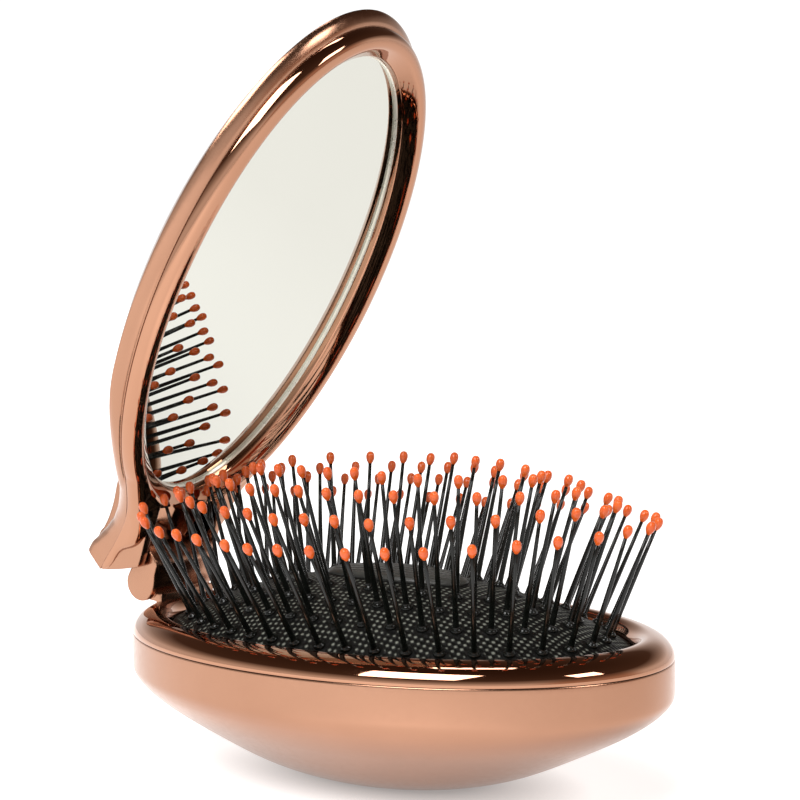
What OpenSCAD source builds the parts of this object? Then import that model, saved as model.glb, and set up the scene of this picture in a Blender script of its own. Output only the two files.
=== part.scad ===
// Folding oval hairbrush with a mirror lid and a pop-up bristle cushion.
// Millimetres. X runs from the hinge end to the free end, Z is up, the origin is the middle of the flat foot.

/* [Base] */
// Length of the oval base at its seam
base_length = 100; // [80:1:120]
// Width of the oval base at its seam
base_width = 68.6; // [55:0.5:80]
// Height of the seam above the flat foot
seam_height = 23.2; // [20:0.1:30]
// Depth of the upright wall below the seam
wall_drop = 6; // [4:0.5:9]
// Wall of the moulded shells
wall = 2.2; // [1.6:0.1:3]
// Height of the rim crest above the seam
rim_height = 3.65; // [3:0.05:4]
// Width of the rim from its outer edge to the cushion at the ends
rim_width = 6.74; // [6:0.02:8]

/* [Cushion] */
// Height of the cushion crown above its edge
dome_rise = 10.5; // [8:0.1:12]
// Thickness of the cushion membrane
membrane = 1.6; // [1.2:0.1:2.2]
// Downward travel of the cushion as the lid shuts
pop_travel = 12; // [8:0.5:12]

/* [Bristles] */
// Bristle diameter
bristle_d = 1.1; // [1:0.05:1.5]
// Bristle length above the membrane, tip included
bristle_length = 21.3; // [18:0.1:23]
// Ball tip diameter
tip_d = 1.7; // [1.6:0.1:2.4]
// Bristles in the outer row
outer_count = 40; // [30:1:44]
// Fewer bristles in each row further in
row_step = 6; // [4:1:8]

/* [Lid] */
// Opening angle of the lid at rest, from shut
lid_angle = 61.2; // [0:0.2:150]
// Length of the lid seam
lid_length = 96.8; // [90:0.2:100]
// Width of the lid seam
lid_width = 62.2; // [55:0.2:68]
// Height of the lid seam above the base seam when shut
lid_seam = 8.8; // [8:0.1:10]
// Height of the mirror face above the base seam when shut
mirror_face = 9.9; // [9.5:0.1:12.8]
// Mirror thickness
mirror_t = 0.9; // [0.7:0.1:1.2]
// Distance of the hinge pin from the middle of the base
hinge_x = 56.5; // [55:0.1:58]
// Height of the hinge pin above the seam
hinge_z = 14.2; // [13:0.1:16]

/* [Hidden] */
$fn = 180;

bl = base_length / 2;
bw = base_width / 2;
ri = bl - rim_width;
rb = bw - rim_width;
ll = lid_length / 2;
lw = lid_width / 2;
foot_drop = seam_height;
plated = [0.85, 0.60, 0.50];
gloss = [0.72, 0.42, 0.32];
black = [0.06, 0.06, 0.07];
orange = [0.86, 0.36, 0.16];
steel = [0.72, 0.73, 0.75];

// Everything is drawn with the seam plane at zero and lifted here
module lift() translate([0, 0, seam_height]) children();
// The lid is drawn shut and swung open about its pin
module swing() lift() translate([-hinge_x, 0, hinge_z]) rotate([0, -lid_angle, 0]) translate([hinge_x, 0, -hinge_z]) children();
// A revolved solid with its Y half-axis set
module oval(a, b) scale([1, b / a, 1]) rotate_extrude() children();
module oval_disc(a, b, z0, z1) translate([0, 0, z0]) linear_extrude(z1 - z0) scale([a, b]) circle(r = 1);
// A side profile drawn in X and Z, given a width across Y
module slab(w) rotate([90, 0, 0]) translate([0, 0, -w / 2]) linear_extrude(w) children();

// Base shell: half-axis share left at depth d
function shell_s(d) = d < wall_drop ? 1 : 1 - pow((d - wall_drop) / 22, 1.5);
function shell_outer(n) = [for (i = [0 : n]) let (d = wall_drop + (foot_drop - wall_drop) * i / n) [bl * shell_s(d), -d]];
inner_a = bl - wall;
inner_b = bw * inner_a / bl;
inner_drop = foot_drop - wall;
function shell_inner(n) = [for (i = [n : -1 : 0]) let (d = inner_drop * i / n) [inner_a * shell_s(d + wall * min(1, d / 12)), -d]];

module base_shell() color(plated) lift() {
    difference() {
        union() {
            difference() {
                union() {
                    oval_disc(bl, bw, -wall_drop, 0);
                    oval(bl, bw) polygon(concat([[0, -wall_drop]], shell_outer(18), [[bl * shell_s(foot_drop + 0.5), -foot_drop - 0.5], [0, -foot_drop - 0.5]]));
                }
                // flat foot
                translate([0, 0, -foot_drop - 5]) cube([120, 90, 10], center = true);
                oval(bl, bw) polygon(concat([[0, -inner_drop]], shell_inner(20), [[inner_a, 1], [0, 1]]));
            }
            // pillars under the hinge bracket
            for (s = [-1, 1]) translate([-41.6, 4.6 * s, -10.8]) cylinder(r = 2, h = 3.5, $fn = 96);
        }
        for (s = [-1, 1]) translate([-41.6, 4.6 * s, -11.1]) cylinder(r = 0.8, h = 6, $fn = 24);
    }
    // guide tube for the plunger stem, standing on the floor
    difference() {
        translate([0, 0, -inner_drop - 0.6]) cylinder(r = 5.7, h = inner_drop + 0.6 - 6, $fn = 96);
        translate([0, 0, -inner_drop]) cylinder(r = 3.1, h = inner_drop, $fn = 48);
    }
}

// Rim profile: quarter round outside, crest, short roll down to the cushion
module base_ring() color(gloss) lift() difference() {
    union() {
        difference() {
            oval(bl, bw) polygon(concat([[0, 0], [bl, 0]], [for (i = [0 : 16]) let (a = 90 * i / 16) [bl - 4.1 * (1 - cos(a)), 0.25 + (rim_height - 0.25) * sin(a)]], [[0, rim_height]]));
            oval(ri, rb) polygon(concat([[0, -9], [ri, -9], [ri, 1.5]], [for (i = [0 : 10]) let (a = 90 * i / 10) [ri + 2.7 * (1 - cos(a)), 1.5 + (rim_height - 1.45) * sin(a)]], [[ri + 2.7, 9], [0, 9]]));
        }
        // skirt that snaps inside the shell
        difference() {
            oval_disc(inner_a - 0.08, inner_b - 0.08, -3.2, 0.3);
            oval_disc(inner_a - 1.7, inner_b - 1.7, -4, 0.31);
        }
        // flange that the cushion edge is clamped against
        difference() {
            oval_disc(inner_a - 1, inner_b - 1, -0.6, 0.4);
            oval_disc(ri, rb, -1, 1);
        }
    }
    // socket for the hinge bracket
    translate([-46.4, 0, 0]) cube([3.3, 15.1, 14], center = true);
    // pocket for the magnet
    translate([44.7, 0, -1]) cylinder(r = 1.55, h = 2.05, $fn = 32);
    for (a = screw_turns()) translate([clamp_x(a), clamp_y(a), -1]) cylinder(r = 0.7, h = 3.2, $fn = 24);
}

function screw_turns() = [30, 90, 150, 210, 270, 330];
function clamp_x(a) = 44.6 * cos(a);
function clamp_y(a) = 29.0 * sin(a);

// Hinge bracket: cheek block, arm and pin barrel, with a foot inside the base
module leaf() difference() {
    union() {
        translate([-48.9, 6.8]) circle(r = 3.3, $fn = 64);
        polygon([[-49.1, 3.6], [-46.6, 4.6], [-45.75, 6.2], [-45.6, 8.2], [-45.0, 10.2], [-45.15, 10.9], [-48.0, 14.1], [-48.8, 14.2], [-49.6, 13.6], [-51.5, 9.6], [-52.1, 7.6]]);
    }
    translate([-hinge_x, hinge_z]) circle(r = 7.5, $fn = 96);
}
module hinge_bracket() color(plated) lift() {
    slab(17) leaf();
    difference() {
        union() {
            slab(7.6) {
                translate([-hinge_x, hinge_z]) circle(r = 2.25, $fn = 64);
                polygon([[-57.95, 12.5], [-52.6, 8.3], [-48.8, 8.0], [-47.4, 12.0], [-48.6, 14.2], [-50.4, 14.35], [-55.8, 16.34]]);
            }
            intersection() {
                translate([-46.4, 0, -0.3]) cube([3.1, 14.9, 10.6], center = true);
                oval_disc(47.45, 32.45, -8, 8);
            }
            intersection() {
                union() {
                    translate([-43.1, 0, -6.3]) cube([9.7, 14.9, 1.8], center = true);
                    translate([-45.8, 0, -5.8]) cube([4.4, 14.9, 2.8], center = true);
                }
                oval_disc(45.5, 31.2, -8, 8);
            }
        }
        translate([-hinge_x, 0, hinge_z]) rotate([90, 0, 0]) cylinder(r = 1.06, h = 30, center = true, $fn = 48);
        for (s = [-1, 1]) translate([-41.6, 4.6 * s, -8]) cylinder(r = 1.15, h = 4, $fn = 32);
    }
}
module bracket_screws() color(steel) lift() for (s = [-1, 1]) translate([-41.6, 4.6 * s, 0]) difference() {
    union() {
        translate([0, 0, -5.36]) cylinder(r = 1.9, h = 0.95, $fn = 32);
        translate([0, 0, -10.9]) cylinder(r = 0.78, h = 5.6, $fn = 32);
    }
    translate([0, 0, -4.9]) cylinder(r = 0.9, h = 1, $fn = 6);
}

// Clamp frame under the cushion edge
module cushion_frame() color(black) lift() difference() {
    oval_disc(45.7, 30.1, -4.2, -2.5);
    oval_disc(42.4, 26.9, -5, -2);
    translate([-49.5, 0, -3]) cube([10, 15.6, 6], center = true);
    for (a = screw_turns()) translate([clamp_x(a), clamp_y(a), -5]) cylinder(r = 0.95, h = 4, $fn = 24);
}
module frame_screws() color(steel) lift() for (a = screw_turns()) translate([clamp_x(a), clamp_y(a), 0]) difference() {
    union() {
        translate([0, 0, -5.1]) cylinder(r = 1.5, h = 0.88, $fn = 32);
        translate([0, 0, -4.4]) cylinder(r = 0.68, h = 6.3, $fn = 24);
    }
    translate([0, 0, -5.4]) cylinder(r = 0.7, h = 0.8, $fn = 6);
}
module base_magnet() color(steel) lift() translate([44.7, 0, -0.55]) cylinder(r = 1.5, h = 1.55, $fn = 32);

// Balance weight on the floor at the free end, so that the brush stands with its lid open
function floor_a(d) = inner_a * shell_s(d + wall);
module balance_weight() color(steel) lift() intersection() {
    oval(inner_a, inner_b) polygon(concat([[0, -20.7]], [for (i = [0 : 10]) let (d = 20.7 - 0.7 * i) [floor_a(d) - 0.6, -d]], [[0, -13.7]]));
    translate([9, -30, -22]) cube([40, 60, 10]);
}

// Coil spring: a closed tube swept along a helix
spring_r = 6.6;
spring_wire = 0.55;
spring_low = -inner_drop + spring_wire + 0.05;
spring_high = 5.3;
spring_turns = 6;
spring_steps = 84;
module pop_spring() color(steel) lift() {
    m = 6;
    pts = [for (i = [0 : spring_steps]) let (t = i / spring_steps, a = 360 * spring_turns * t, z = spring_low + (spring_high - spring_low) * t)
        for (j = [0 : m - 1]) let (b = 360 * j / m, r = spring_r + spring_wire * cos(b)) [r * cos(a), r * sin(a), z + spring_wire * sin(b)]];
    side = [for (i = [0 : spring_steps - 1]) for (j = [0 : m - 1]) let (k = (j + 1) % m) each [[i * m + j, (i + 1) * m + k, i * m + k], [i * m + j, (i + 1) * m + j, (i + 1) * m + k]]];
    caps = [[for (j = [0 : m - 1]) j], [for (j = [m - 1 : -1 : 0]) spring_steps * m + j]];
    polyhedron(points = pts, faces = concat(side, caps));
}

// Cushion dome as part of a sphere, pressed oval
dome_z = 1.2;
dome_r = (ri * ri + dome_rise * dome_rise) / (2 * dome_rise);
function dome_at(x, y) = let (q = x * x + y * y * ri * ri / (rb * rb)) dome_z + dome_rise - dome_r + sqrt(dome_r * dome_r - q);
module dome_ball(off) translate([0, 0, dome_z + dome_rise - dome_r]) scale([1, rb / ri, 1]) sphere(r = dome_r + off, $fn = 192);
edge_a = ri - 0.16;
edge_b = rb - 0.16;

module cushion() color(black) lift() difference() {
    union() {
        intersection() {
            dome_ball(0);
            oval_disc(edge_a, edge_b, -2.35, 14);
        }
        difference() {
            oval_disc(45.6, 29.9, -2.35, -0.72);
            translate([-49.5, 0, -3]) cube([10, 15.6, 8], center = true);
        }
    }
    intersection() {
        dome_ball(-membrane);
        oval_disc(edge_a - 1.8, edge_b - 1.8, -3, 14);
    }
    oval_disc(edge_a - 1.8, edge_b - 1.8, -3, -0.6);
    cylinder(r = 2.1, h = 20, $fn = 32);
    for (a = screw_turns()) translate([clamp_x(a), clamp_y(a), -4]) cylinder(r = 0.95, h = 4, $fn = 24);
    for (k = [1 : 4]) bristle_row(k) translate([0, 0, -5]) cylinder(r = bristle_d / 2 + 0.01, h = 8, $fn = 16);
}

// Bristle rows: near-even spacing on ovals, each bristle square to the dome
function row_a(k) = 39.2 - 5.4 * (k - 1);
function row_b(k) = 24.9 - 4.9 * (k - 1);
function row_n(k) = outer_count - row_step * (k - 1);
function row_turn(k, i) = let (f = 360 * (i + (k % 2) / 2) / row_n(k), e = (row_a(k) - row_b(k)) / (row_a(k) + row_b(k)) / 2) f + e * sin(2 * f) * 180 / PI;
// The six outermost in the outer row on each long side
function at_side(i) = (i >= 7 && i <= 12) || (i >= 27 && i <= 32);
module bristle_row(k, which = 0) for (i = [0 : row_n(k) - 1]) if (which == 0 || (which == 1) == at_side(i)) {
    t = row_turn(k, i);
    x = row_a(k) * cos(t);
    y = row_b(k) * sin(t);
    // those beside the lid's edge stand up straighter
    sx = 2 * dome_rise * x / (ri * ri) * 0.85 * (x < -30 ? max(0.5, 1 - 0.55 * pow((-30 - x) / 8.1, 2)) : 1);
    sy = 2 * dome_rise * y / (rb * rb);
    translate([x, y, dome_at(x, y)]) rotate([0, atan(sqrt(sx * sx + sy * sy)), atan2(sy, sx)]) children();
}
neck = bristle_length - tip_d * 1.3;
module bristles(k) color(black) lift() bristle_row(k) {
    translate([0, 0, -membrane - 1.35]) cylinder(r = bristle_d * 0.85, h = 0.85, $fn = 16);
    translate([0, 0, -membrane - 0.6]) cylinder(r = bristle_d / 2, h = neck + membrane + 0.6, $fn = 16);
}
module tips(k, which = 0) color(orange) lift() bristle_row(k, which) {
    translate([0, 0, bristle_length - tip_d / 2]) sphere(r = tip_d / 2, $fn = 16);
    translate([0, 0, neck + 0.02]) cylinder(r1 = tip_d * 0.33, r2 = tip_d * 0.455, h = tip_d * 0.6, $fn = 16);
}
module bristles_row1() bristles(1);
module bristles_row2() bristles(2);
module bristles_row3() bristles(3);
module bristles_row4() bristles(4);
module tips_row1() tips(1, 2);
module tips_row1_sides() tips(1, 1);
module tips_row2() tips(2);
module tips_row3() tips(3);
module tips_row4() tips(4);

// Ribbed crown cap that clips the membrane to the plunger
module crown_cap() color(black) lift() {
    difference() {
        intersection() {
            dome_ball(0.95);
            translate([0.9, 0, 0]) oval_disc(14, 6.3, 8, 16);
        }
        dome_ball(0.02);
        for (i = [-3 : 3]) translate([0.9, 1.7 * i, dome_z + dome_rise + 0.95]) cube([30, 0.5, 0.9], center = true);
    }
    translate([0, 0, 7.2]) cylinder(r = 2.0, h = 5, $fn = 32);
}
// Plunger plate and stem
module plunger() color(black) lift() difference() {
    union() {
        intersection() {
            difference() {
                dome_ball(-membrane - 1.45);
                dome_ball(-membrane - 3.4);
            }
            oval_disc(19, 7.6, -4, 14);
        }
        translate([0, 0, -8.2]) cylinder(r = 3.04, h = 15.4, $fn = 48);
        translate([0, 0, 6.7]) cylinder(r = 8, h = 0.9, $fn = 48);
        translate([0, 0, 6.7]) cylinder(r = 3.4, h = 3.1, $fn = 48);
    }
    translate([0, 0, 7]) cylinder(r = 2.06, h = 10, $fn = 32);
}

// Lid back profile: height above the lid seam for a half-axis share s
function lid_h(s) = 2.5 + 10 * (1 - pow(s / 1.04, 3));
function lid_outer(n) = concat([for (i = [0 : 6]) let (t = i / 6) [ll * (1 + 0.04 * sin(90 * t)), lid_seam + 2.5 * t]], [for (i = [1 : n]) let (s = 1.04 * (1 - pow(i / n, 1.3))) [ll * s, lid_seam + lid_h(s)]]);
pad_top = mirror_face + mirror_t + 0.55;
tail_w = 21.8;
mid_w = 17;
slot_w = 17.7;
module lid_slot() slab(slot_w) difference() {
    polygon([[-44.6, -6], [-44.6, 11.0], [-47.75, 14.75], [-75, 14.75], [-75, -6]]);
    translate([-hinge_x, hinge_z]) circle(r = 7.1, $fn = 96);
}
module lid_back() color(plated) swing() difference() {
    union() {
        difference() {
            oval(ll, lw) polygon(concat([[0, lid_seam]], lid_outer(24)));
            // room for the frame skirt, then the mirror, then its pad
            oval_disc(44.8, 27.5, 0, mirror_face);
            oval_disc(44.6, 27.3, mirror_face - 0.1, mirror_face + mirror_t + 0.05);
            oval_disc(42.4, 25.4, mirror_face, pad_top + 0.05);
            // hollow behind the mirror
            oval(ll, lw) polygon(concat([[0, pad_top], [36, pad_top]], [for (i = [0 : 8]) let (s = 36 / ll * (1 - pow(i / 8, 1.3))) [ll * s, lid_seam + lid_h(s) - 2.1]]));
        }
        difference() {
            union() {
                slab(tail_w) polygon([[-35, 16.9], [-41, 17.1], [-45.6, 16.6], [-48.9, 15.5], [-53.2, 15.3], [-56.2, 15.7], [-59.2, 16.5], [-60.9, 11.6], [-49.6, 11.6], [-48.4, 9.0], [-44.6, 9.0], [-44.6, 15.2], [-35, 15.2]]);
                slab(mid_w) polygon([[-34, 17.2], [-41, 17.8], [-46, 17.5], [-49.5, 16.4], [-54, 16.3], [-57, 16.7], [-60.0, 17.3], [-61.0, 14], [-60.9, 11.6], [-49.6, 11.6], [-44.6, 11.6], [-44.6, 15.2], [-34, 15.2]]);
            }
            oval_disc(44.8, 27.5, 0, mirror_face + mirror_t + 0.05);
            oval_disc(42.4, 25.4, 0, pad_top + 0.05);
        }
        slab(mid_w) translate([-hinge_x, hinge_z]) circle(r = 2.4, $fn = 64);
    }
    lid_slot();
    // gap for the bracket arm
    slab(8.2) polygon([[-49.2, -6], [-49.2, 22], [-56.5, 22], [-58.7, 16.9], [-58.6, 15.6], [-60.1, 14.6], [-75, 12], [-75, -6]]);
    slab(8.2) translate([-hinge_x, hinge_z]) circle(r = 2.6, $fn = 64);
    // pin bore, blind at the near side
    translate([-hinge_x, -8.8, hinge_z]) rotate([-90, 0, 0]) cylinder(r = 1.06, h = 20, $fn = 48);
    // chamfered tail end
    slab(30) polygon([[-61.2, 11.2], [-61.6, 18], [-59.2, 16.6]]);
}
// Lid frame: a rounded bead whose inner side slopes back to the mirror's opening
lip_z = 6.1;
lip_in = 2.3;
module lid_front() color(gloss) swing() difference() {
    union() {
        difference() {
            union() {
                oval(ll, lw, $fn = 120) polygon(concat([[0, lid_seam - 0.02], [ll, lid_seam - 0.02]], [for (i = [1 : 16]) let (a = 90 * i / 16) [ll - lip_in * (1 - cos(a)), lid_seam - (lid_seam - lip_z) * sin(a)]], [[0, lip_z]]));
                oval_disc(44.7, 27.4, lid_seam - 0.5, mirror_face - 0.05, $fn = 120);
            }
            oval_disc(43.2, 25.9, 8, 20, $fn = 120);
            oval(45.9, 28.6, $fn = 120) polygon([[0, 0], [45.9, 0], [45.9, lip_z], [43.1, 8.25], [0, 8.25]]);
        }
        for (s = [-1, 1]) translate([0, 9.9 * s, 0]) slab(2) polygon([[-60.9, 11.5], [-60.3, 10.4], [-55.7, 4.3], [-51.9, 4.9], [-48.2, 5.5], [-46.2, 6.2], [-45.2, 7.0], [-45.2, 8.7], [-48.3, 8.7], [-49.5, 11.5]]);
    }
    lid_slot();
    translate([46.4, 0, 7]) cylinder(r = 1.1, h = 30, $fn = 32);
}
module mirror() color([0.85, 0.9, 0.88]) swing() oval_disc(44.4, 27.1, mirror_face, mirror_face + mirror_t);
module mirror_pad() color([0.9, 0.9, 0.88]) swing() oval_disc(42, 25, mirror_face + mirror_t + 0.02, pad_top);
module hinge_pin() color(steel) swing() translate([-hinge_x, -8.7, hinge_z]) rotate([-90, 0, 0]) cylinder(r = 1.0, h = 17.2, $fn = 48);
module lid_magnet() color(steel) swing() translate([46.4, 0, 7.05]) cylinder(r = 1.05, h = 1.65, $fn = 32);

base_shell();
base_ring();
hinge_bracket();
bracket_screws();
cushion_frame();
frame_screws();
base_magnet();
balance_weight();
pop_spring();
plunger();
crown_cap();
cushion();
bristles_row1();
bristles_row2();
bristles_row3();
bristles_row4();
tips_row1();
tips_row1_sides();
tips_row2();
tips_row3();
tips_row4();
lid_back();
lid_front();
mirror();
mirror_pad();
hinge_pin();
lid_magnet();
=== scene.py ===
import math

import bmesh
import bpy
import numpy as np
from mathutils import Matrix, Vector


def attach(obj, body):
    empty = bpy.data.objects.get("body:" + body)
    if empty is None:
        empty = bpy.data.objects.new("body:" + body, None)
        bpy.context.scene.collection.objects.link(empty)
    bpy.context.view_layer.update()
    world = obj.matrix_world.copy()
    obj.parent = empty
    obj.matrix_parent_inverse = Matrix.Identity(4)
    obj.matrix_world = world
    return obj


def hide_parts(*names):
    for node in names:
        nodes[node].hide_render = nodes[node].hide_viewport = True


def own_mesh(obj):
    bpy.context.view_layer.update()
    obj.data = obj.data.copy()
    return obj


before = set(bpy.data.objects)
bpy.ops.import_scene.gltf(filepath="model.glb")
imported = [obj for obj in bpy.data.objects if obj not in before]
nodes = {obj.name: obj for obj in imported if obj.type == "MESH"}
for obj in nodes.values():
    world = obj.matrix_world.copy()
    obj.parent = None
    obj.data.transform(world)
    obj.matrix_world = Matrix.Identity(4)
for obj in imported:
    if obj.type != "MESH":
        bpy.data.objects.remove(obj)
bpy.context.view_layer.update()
scene = bpy.context.scene

# Sizes in millimetres, in the frame of part.scad: seam plane at zero, lifted by SEAM onto the foot
SEAM = 23.2
BL, BW = 50.0, 34.3
LL, LW = 48.4, 31.1
HX, HZ = -56.5, 14.2
LID = math.radians(61.2)
RI, RB = 43.26, 27.56
DOME_Z, RISE = 1.2, 10.5
DOME_R = (RI * RI + RISE * RISE) / (2 * RISE)
PI = math.pi


def base_m(p):
    """Millimetres about the seam plane to metres in the row frame."""
    p = np.asarray(p, float).reshape(-1, 3)
    return (p + np.array([0, 0, SEAM])) * 1e-3


def lid_m(p):
    """Millimetres on the shut lid to metres in the row frame with the lid as open as at rest."""
    p = np.asarray(p, float).reshape(-1, 3)
    dx, dz = p[:, 0] - HX, p[:, 2] - HZ
    c, s = math.cos(LID), math.sin(LID)
    return np.stack([HX + dx * c - dz * s, p[:, 1], HZ + dx * s + dz * c + SEAM], 1) * 1e-3


# ---------------------------------------------------------------- materials

def material(name):
    m = bpy.data.materials.new(name)
    m.use_nodes = True
    nt = m.node_tree
    b = next(n for n in nt.nodes if n.type == "BSDF_PRINCIPLED")
    return m, nt, b


def link(nt, a, b):
    nt.links.new(a, b)


def objcoord(nt, scale=1.0):
    tc = nt.nodes.new("ShaderNodeTexCoord")
    mp = nt.nodes.new("ShaderNodeMapping")
    mp.inputs["Scale"].default_value = (scale, scale, scale) if not hasattr(scale, "__len__") else scale
    link(nt, tc.outputs["Object"], mp.inputs["Vector"])
    return mp.outputs["Vector"]


def noise(nt, vec, scale, detail=4.0, rough=0.55):
    n = nt.nodes.new("ShaderNodeTexNoise")
    n.inputs["Scale"].default_value = scale
    n.inputs["Detail"].default_value = detail
    n.inputs["Roughness"].default_value = rough
    link(nt, vec, n.inputs["Vector"])
    return n.outputs["Fac"]


def ramp(nt, fac, stops):
    r = nt.nodes.new("ShaderNodeValToRGB")
    els = r.color_ramp.elements
    while len(els) < len(stops):
        els.new(0.5)
    for e, (pos, col) in zip(els, stops):
        e.position = pos
        e.color = tuple(col) + ((1.0,) if len(col) == 3 else ())
    link(nt, fac, r.inputs["Fac"])
    return r.outputs["Color"]


def mapr(nt, fac, lo, hi, a=0.0, b=1.0):
    n = nt.nodes.new("ShaderNodeMapRange")
    n.inputs["From Min"].default_value = a
    n.inputs["From Max"].default_value = b
    n.inputs["To Min"].default_value = lo
    n.inputs["To Max"].default_value = hi
    link(nt, fac, n.inputs["Value"])
    return n.outputs["Result"]


def bump(nt, height, strength, distance, normal=None):
    n = nt.nodes.new("ShaderNodeBump")
    n.inputs["Strength"].default_value = strength
    n.inputs["Distance"].default_value = distance
    link(nt, height, n.inputs["Height"])
    if normal is not None:
        link(nt, normal, n.inputs["Normal"])
    return n.outputs["Normal"]


def soft_edges(nt, radius, samples=4):
    n = nt.nodes.new("ShaderNodeBevel")
    n.samples = samples
    n.inputs["Radius"].default_value = radius
    return n.outputs["Normal"]


def rose(name, lo, hi, rough_lo, rough_hi, orange_peel, edges=0.0):
    """Rose-gold plating on moulded plastic: a faint long-wave ripple, fine speckle and small changes of tone."""
    m, nt, b = material(name)
    vec = objcoord(nt, 1.0)
    broad = noise(nt, vec, 38.0, 3.0)
    fine = noise(nt, vec, 900.0, 5.0)
    link(nt, ramp(nt, broad, [(0.25, lo), (0.75, hi)]), b.inputs["Base Color"])
    b.inputs["Metallic"].default_value = 1.0
    link(nt, mapr(nt, fine, rough_lo, rough_hi, 0.3, 0.7), b.inputs["Roughness"])
    ripple = noise(nt, vec, 160.0, 2.0)
    normal = soft_edges(nt, edges) if edges else None
    link(nt, bump(nt, ripple, orange_peel, 0.0004, normal), b.inputs["Normal"])
    return m


SATIN = rose("rose_satin", (0.345, 0.180, 0.114), (0.386, 0.206, 0.133), 0.18, 0.25, 0.05)
SATIN_EDGE = rose("rose_satin_edges", (0.345, 0.180, 0.114), (0.386, 0.206, 0.133), 0.18, 0.24, 0.05, 0.00025)
GLOSS = rose("rose_gloss", (0.390, 0.200, 0.125), (0.418, 0.217, 0.136), 0.03, 0.055, 0.02)
GLOSS_EDGE = rose("rose_gloss_edges", (0.390, 0.200, 0.125), (0.418, 0.217, 0.136), 0.03, 0.06, 0.02, 0.0002)


def steel(name, tone, rough):
    m, nt, b = material(name)
    vec = objcoord(nt, (1.0, 1.0, 12.0))
    f = noise(nt, vec, 600.0, 4.0)
    link(nt, ramp(nt, f, [(0.3, (tone * 0.9,) * 3), (0.7, (tone, tone, tone * 1.02))]), b.inputs["Base Color"])
    b.inputs["Metallic"].default_value = 1.0
    link(nt, mapr(nt, f, rough * 0.8, rough * 1.3), b.inputs["Roughness"])
    link(nt, bump(nt, f, 0.1, 0.0001), b.inputs["Normal"])
    return m


STEEL = steel("bright_steel", 0.62, 0.22)
WIRE = steel("spring_wire", 0.5, 0.28)


def black(name, dark, light, rough_lo, rough_hi, scale, strength, spec=0.5):
    m, nt, b = material(name)
    vec = objcoord(nt, 1.0)
    f = noise(nt, vec, scale, 5.0)
    link(nt, ramp(nt, f, [(0.3, dark), (0.72, light)]), b.inputs["Base Color"])
    link(nt, mapr(nt, f, rough_lo, rough_hi, 0.3, 0.7), b.inputs["Roughness"])
    b.inputs["Specular IOR Level"].default_value = spec
    link(nt, bump(nt, f, strength, 0.0002), b.inputs["Normal"])
    return m


PLASTIC = black("black_moulding", (0.012, 0.012, 0.011), (0.022, 0.022, 0.02), 0.38, 0.5, 1500.0, 0.12)
CAP = black("crown_rubber", (0.016, 0.016, 0.014), (0.030, 0.031, 0.027), 0.34, 0.48, 1200.0, 0.15)
NYLON = black("bristle_nylon", (0.002, 0.0025, 0.002), (0.005, 0.006, 0.005), 0.11, 0.18, 700.0, 0.03, 0.30)


def rubber():
    """Cushion rubber: black, with a woven-looking grain whose tops are painted light grey as a painted highlight."""
    m, nt, b = material("cushion_rubber")
    vec = objcoord(nt, 1.0)
    sep = nt.nodes.new("ShaderNodeSeparateXYZ")
    link(nt, vec, sep.inputs["Vector"])

    def wave(out, pitch, phase):
        mul = nt.nodes.new("ShaderNodeMath")
        mul.operation = "MULTIPLY_ADD"
        mul.inputs[1].default_value = 2 * PI / pitch
        mul.inputs[2].default_value = phase
        link(nt, out, mul.inputs[0])
        cosn = nt.nodes.new("ShaderNodeMath")
        cosn.operation = "COSINE"
        link(nt, mul.outputs[0], cosn.inputs[0])
        return cosn.outputs[0]

    add = nt.nodes.new("ShaderNodeMath")
    add.operation = "ADD"
    link(nt, wave(sep.outputs["X"], 0.00112, 0.3), add.inputs[0])
    link(nt, wave(sep.outputs["Y"], 0.00100, 0.9), add.inputs[1])
    g = mapr(nt, add.outputs[0], 0.0, 1.0, -2.0, 2.0)
    att = nt.nodes.new("ShaderNodeAttribute")
    att.attribute_name = "grain"
    grain = nt.nodes.new("ShaderNodeMath")
    grain.operation = "MULTIPLY"
    link(nt, g, grain.inputs[0])
    link(nt, att.outputs["Fac"], grain.inputs[1])
    fine = noise(nt, vec, 1600.0, 4.0)
    # random patches where the painted highlight on the grain tops is brighter or dimmer
    sheen_patches = noise(nt, vec, 260.0, 3.0)
    sheen_patch_offset = nt.nodes.new("ShaderNodeMath")
    sheen_patch_offset.operation = "MULTIPLY_ADD"
    link(nt, sheen_patches, sheen_patch_offset.inputs[0])
    sheen_patch_offset.inputs[1].default_value = 0.35
    sheen_patch_offset.inputs[2].default_value = -0.17
    tot = nt.nodes.new("ShaderNodeMath")
    tot.operation = "ADD"
    link(nt, grain.outputs[0], tot.inputs[0])
    link(nt, sheen_patch_offset.outputs[0], tot.inputs[1])
    # painted highlight: grain tops and bright patches go from black to a light grey-green, standing in for light caught
    # on the grain
    tone = ramp(nt, tot.outputs[0], [(0.0, (0.002, 0.002, 0.0018)), (0.55, (0.004, 0.004, 0.0035)), (0.72, (0.03, 0.032, 0.027)), (0.94, (0.135, 0.14, 0.118))])
    link(nt, tone, b.inputs["Base Color"])
    link(nt, mapr(nt, fine, 0.42, 0.58, 0.3, 0.7), b.inputs["Roughness"])
    b.inputs["Specular IOR Level"].default_value = 0.125
    coarse = bump(nt, grain.outputs[0], 1.0, 0.00022)
    link(nt, bump(nt, fine, 0.15, 0.0001, coarse), b.inputs["Normal"])
    return m


RUBBER = rubber()


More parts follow.
